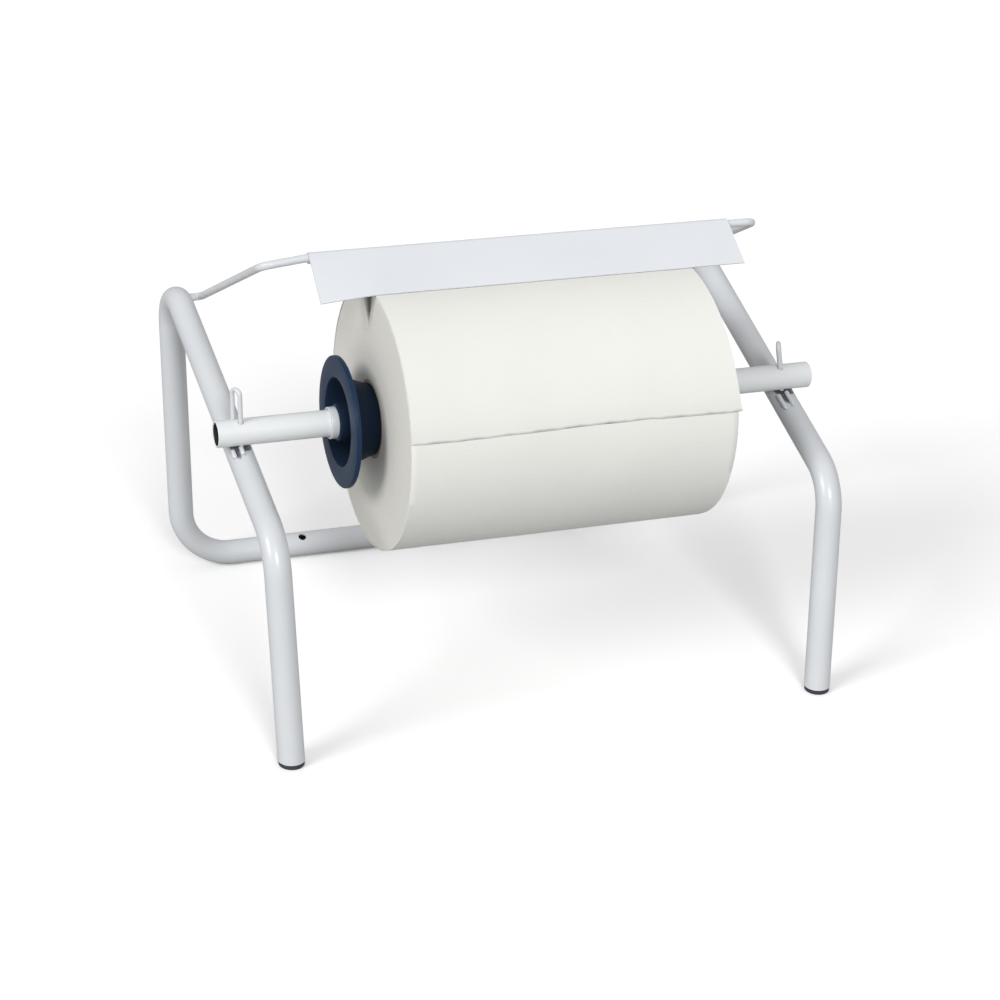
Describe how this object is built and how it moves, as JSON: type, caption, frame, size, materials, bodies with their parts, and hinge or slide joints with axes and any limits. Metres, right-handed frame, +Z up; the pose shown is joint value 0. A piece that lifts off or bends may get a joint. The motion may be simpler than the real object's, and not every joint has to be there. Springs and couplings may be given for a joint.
{
  "type": "industrial wipe roll dispenser",
  "caption": "Bench stand of bent white tube holding a large wiper roll on a cross spindle between flanged blue cones, with a hinged tear blade resting on the roll.",
  "frame": {"origin": "middle of the footprint, on the floor", "axes": "+X along the spindle to the right as seen from the front, +Y to the rear, +Z up; the front is -Y"},
  "size_m": [0.4746, 0.3488, 0.3382],
  "materials": {
    "frame_coating": "smooth white powder coat",
    "spindle_coating": "smooth white powder coat",
    "wire_coating": "smooth white powder coat, greyer on the thin wire",
    "blade_coating": "smooth white coat on sheet steel",
    "collar_coating": "white coat",
    "plug_plastic": "dark moulded plastic",
    "cone_plastic": "navy moulded plastic",
    "screw_steel": "plain steel",
    "wipe_paper": "soft white creped paper",
    "core_board": "grey-brown board"
  },
  "bodies": {
    "stand": {"frame_tube": "frame_coating", "foot_plug_left": "plug_plastic", "foot_plug_right": "plug_plastic", "locating_pin_left": "wire_coating", "locating_pin_right": "wire_coating", "tear_rod": "wire_coating", "spindle": "spindle_coating"},
    "roll": {"roll_core": "core_board", "wipe_roll": "wipe_paper", "wipe_tail": "wipe_paper"},
    "stop_left": {"collar_left": "collar_coating", "collar_screw_left": "screw_steel"},
    "stop_right": {"collar_right": "collar_coating", "collar_screw_right": "screw_steel"},
    "centring_cone_left": {"cone_left": "cone_plastic"},
    "centring_cone_right": {"cone_right": "cone_plastic"},
    "blade": {"tear_blade": "blade_coating"}
  },
  "joints": [
    {"name": "roll_spin", "type": "hinge", "parent": "stand", "child": "roll", "pos_m": [0, -0.04965, 0.21595], "axis": [1, 0, 0], "continuous": true},
    {"name": "collar_slide_left", "type": "slide", "parent": "stand", "child": "stop_left", "axis": [-1, 0, 0], "range_m": [0, 0.04]},
    {"name": "collar_slide_right", "type": "slide", "parent": "stand", "child": "stop_right", "axis": [1, 0, 0], "range_m": [0, 0.043]},
    {"name": "cone_spin_left", "type": "hinge", "parent": "stop_left", "child": "centring_cone_left", "pos_m": [0, -0.04965, 0.21595], "axis": [1, 0, 0], "continuous": true},
    {"name": "cone_spin_right", "type": "hinge", "parent": "stop_right", "child": "centring_cone_right", "pos_m": [0, -0.04965, 0.21595], "axis": [1, 0, 0], "continuous": true},
    {"name": "blade_swing", "type": "hinge", "parent": "stand", "child": "blade", "pos_m": [0, -0.01725, 0.334], "axis": [-1, 0, 0], "range_deg": [0, 235]}
  ],
  "couplings": [
    {"joint": "cone_spin_left", "follows": "roll_spin", "ratio": 1},
    {"joint": "cone_spin_right", "follows": "roll_spin", "ratio": 1}
  ]
}
